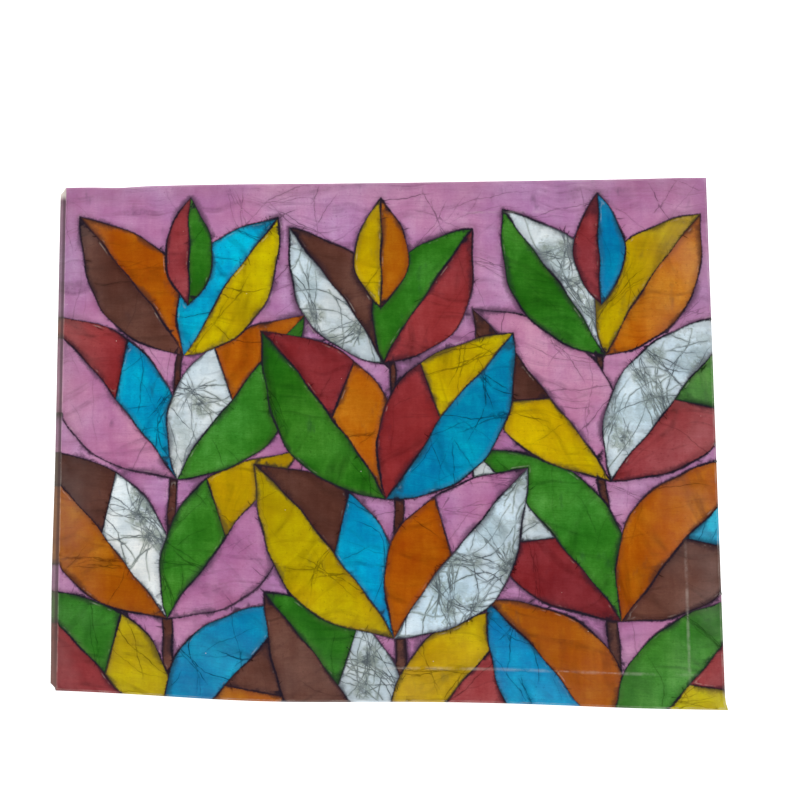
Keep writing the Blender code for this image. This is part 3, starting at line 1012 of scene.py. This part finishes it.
    # The raw edge, paler where its threads work loose, and the reverse, where the dye came through weaker
    loose = streaks(place, 0.0, 900.0, 900.0, 2.0, 0.6)
    frayed = times(ramp(beyond, 0.0366, 0.0390), ramp(loose, 0.35, 0.60, 0.15, 0.75))
    colour = laid_over(colour, (times(left_side_shade_and_grime, 0.58), SIDE_SHADE_AND_GRIME),
                       (times(fold_crease_shade, 0.50), FOLD_CREASE_SHADE), (top_highlight, PALE_WAX_AND_HIGHLIGHT), (frayed, PALE_WAX_AND_HIGHLIGHT))
    weaker = blend(0.10, soaked(colour, 0.86), PALE_WAX_AND_HIGHLIGHT)
    colour = blend(reverse, colour, weaker)

    # Plain weave: threads about half a millimetre apart, with slubs
    threads = []
    for direction, wiggle in (("X", weft), ("Y", warp)):
        wave = add_node("TexWave", {"wave_type": "BANDS", "bands_direction": direction},
                        Vector=place, Scale=THREADS_PER_METRE / WAVES_PER_SCALE, Distortion=1.2)
        wave.inputs["Detail Scale"].default_value = 0.2
        threads.append(times(wave.outputs["Fac"], ramp(wiggle, 0.3, 0.7, 0.7, 1.0)))
    surface(shader, colour, ramp(mottle, 0.3, 0.7, 0.80, 0.92), 0.25, 0.00010, highest(*threads))
    shader.inputs["Specular IOR Level"].default_value = 0.04
    return made


cloth.data.materials.append(batik())
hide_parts("batik_cloth")
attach(cloth, "root")

# Tacks
# Small domed steel tacks through the turned-back cotton into the rear of the battens, one every 70 mm and
# hammered in by hand, so that none sits quite true. They are guessed: the photograph shows only the front.
TACK_HEAD = 0.0034
TACK_DOME = 0.0011
TACK_SIDES = 20
TACK_RINGS = (1.0, 1.02, 0.92, 0.70, 0.40)
TACK_RISES = (0.0, 0.22, 0.55, 0.84, 0.97)
TACK_SINK = 0.0002
TACK_STRAY = 0.0014
TACK_TILT = 0.10
TACK_SEED = 31
SHARP_ANGLE = math.radians(50)
TACK_STEEL = srgb(172, 170, 166)
TACK_RUST = srgb(112, 72, 48)


def tack_head(rng):
    """Points and faces of one domed head, its middle at the origin and its top towards +Y."""
    tilt = Euler((rng.gauss(0, TACK_TILT), rng.uniform(0, math.pi), rng.gauss(0, TACK_TILT)))
    points, faces = [], []
    for reach, rise in zip(TACK_RINGS, TACK_RISES):
        for side in range(TACK_SIDES):
            angle = 2 * math.pi * side / TACK_SIDES
            radius = TACK_HEAD * reach
            points.append((radius * math.cos(angle), TACK_DOME * rise, -radius * math.sin(angle)))
    for ring in range(len(TACK_RINGS) - 1):
        for side in range(TACK_SIDES):
            after = (side + 1) % TACK_SIDES
            low, high = ring * TACK_SIDES, (ring + 1) * TACK_SIDES
            faces.append((low + side, low + after, high + after, high + side))
    points.append((0.0, TACK_DOME, 0.0))
    last = (len(TACK_RINGS) - 1) * TACK_SIDES
    faces += [(last + side, last + (side + 1) % TACK_SIDES, len(points) - 1) for side in range(TACK_SIDES)]
    faces.append(tuple(range(TACK_SIDES - 1, -1, -1)))
    return [tilt.to_matrix() @ Vector(point) for point in points], faces


def tack_places():
    """Where the tacks sit on the face's rim: evenly along all four sides, none at a corner or a middle."""
    across = int((HALF_WIDTH - 2 * TACK_INSET) / TACK_SPACING + 0.5)
    up = int((HALF_HEIGHT - 2 * TACK_INSET) / TACK_SPACING + 0.5)
    level = [((k + 0.5) * TACK_SPACING, side * HALF_HEIGHT)
             for side in (-1, 1) for k in range(-across, across)]
    upright = [(side * HALF_WIDTH, (k + 0.5) * TACK_SPACING)
               for side in (-1, 1) for k in range(-up, up)]
    return level + upright


def build_tack_mesh():
    """All tack heads in one mesh, each a little off its place."""
    rng = random.Random(TACK_SEED)
    points, faces = [], []
    for u, v in tack_places():
        inset = TACK_INSET + rng.uniform(-TACK_STRAY, TACK_STRAY)
        stray = rng.uniform(-TACK_STRAY, TACK_STRAY)
        if at_side(u):
            v += stray
        else:
            u += stray
        place = Vector(hung_place(u, v, inset, TOTAL_DEPTH))
        head, rings = tack_head(rng)
        faces += [tuple(number + len(points) for number in face) for face in rings]
        points += [place - Vector((0, TACK_SINK, 0)) + point for point in head]
    mesh = bpy.data.meshes.new("tack_heads")
    mesh.from_pydata(points, [], faces)
    mesh.shade_smooth()
    mesh.set_sharp_from_angle(angle=SHARP_ANGLE)
    return mesh


def tack_steel():
    """Dull blued steel with a little rust and fine hammer scuffs."""
    made, tree, shader = new_material("tack_steel")
    place = add_node("TexCoord", tree=tree).outputs["Object"]
    rust = patches(place, 420.0, 4.0, 0.65, 0.50, 0.68, 0.0, 0.80)
    scuffs = noise(place, 1800.0, 3.0, 0.6)
    steel = blend(rust, TACK_STEEL, TACK_RUST)
    surface(shader, steel, ramp(rust, 0.0, 0.8, 0.34, 0.75), 0.3, 0.00008, scuffs)
    shader.inputs["Metallic"].default_value = 0.9
    return made


tacks = placed("rear_tacks", build_tack_mesh())
tacks.data.materials.append(tack_steel())
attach(tacks, "root")

# Floor, backdrop, light and camera
# A pale floor well below the hanging and a pale backdrop well behind it, with soft daylight from the
# upper left front. The camera stands at the photograph's angle: a little right of the middle, level.
FLOOR_BELOW = -1.25
BACKDROP_BEHIND = 1.7
ROOM_REACH = 9.0
ROOM_WHITE = srgb(250, 250, 250)
DAYLIGHT = 0.80


def room_plane(name, corners):
    """One large flat plane of the plain room."""
    mesh = bpy.data.meshes.new(name)
    mesh.from_pydata(corners, [], [(0, 1, 2, 3)])
    made, _, shader = new_material(name)
    shader.inputs["Base Color"].default_value = ROOM_WHITE
    shader.inputs["Roughness"].default_value = 0.9
    mesh.materials.append(made)
    plane = placed(name, mesh)


NEAR_LINE = [(-ROOM_REACH, -ROOM_REACH, FLOOR_BELOW), (ROOM_REACH, -ROOM_REACH, FLOOR_BELOW)]
FAR_LINE = [(-ROOM_REACH, BACKDROP_BEHIND, FLOOR_BELOW), (ROOM_REACH, BACKDROP_BEHIND, FLOOR_BELOW)]
HIGH_LINE = [(ROOM_REACH, BACKDROP_BEHIND, ROOM_REACH), (-ROOM_REACH, BACKDROP_BEHIND, ROOM_REACH)]
room_plane("floor", NEAR_LINE + FAR_LINE[::-1])
room_plane("backdrop", FAR_LINE + HIGH_LINE)

scene = bpy.context.scene
scene.view_settings.view_transform = "Standard"
world = bpy.data.worlds.new("daylight")
world.use_nodes = True
sky = world.node_tree.nodes["Background"]
sky.inputs["Color"].default_value = (1.0, 1.0, 1.0, 1.0)
sky.inputs["Strength"].default_value = DAYLIGHT
scene.world = world


def soft_light(name, place, target, size, power):
    """A large soft area light turned towards a target."""
    data = bpy.data.lights.new(name, "AREA")
    data.shape = "SQUARE"
    data.size = size
    data.energy = power
    light = placed(name, data)
    light.location = place
    light.rotation_euler = (Vector(target) - Vector(place)).to_track_quat("-Z", "Y").to_euler()


soft_light("window", (-1.3, -1.6, 1.0), (0, 0, FACE_CENTRE_Z), 1.4, 12.0)
soft_light("backdrop wash left", (-1.2, 0.5, 2.1), (-0.6, BACKDROP_BEHIND, -0.3), 1.6, 34.0)
soft_light("backdrop wash right", (1.2, 0.5, 2.1), (0.6, BACKDROP_BEHIND, -0.3), 1.6, 34.0)

CAMERA_PLACE = Vector((0.0811, -0.7541, -0.0370)) + Vector((0, FRONT_Y, FACE_CENTRE_Z))
CAMERA_TURN = (94.84, -0.60, 4.89)
camera_data = bpy.data.cameras.new("camera")
camera_data.sensor_width = 36.0
camera_data.lens = 45.0
camera = placed("camera", camera_data)
camera.location = CAMERA_PLACE
camera.rotation_euler = Euler([math.radians(angle) for angle in CAMERA_TURN], "XYZ")
scene.camera = camera
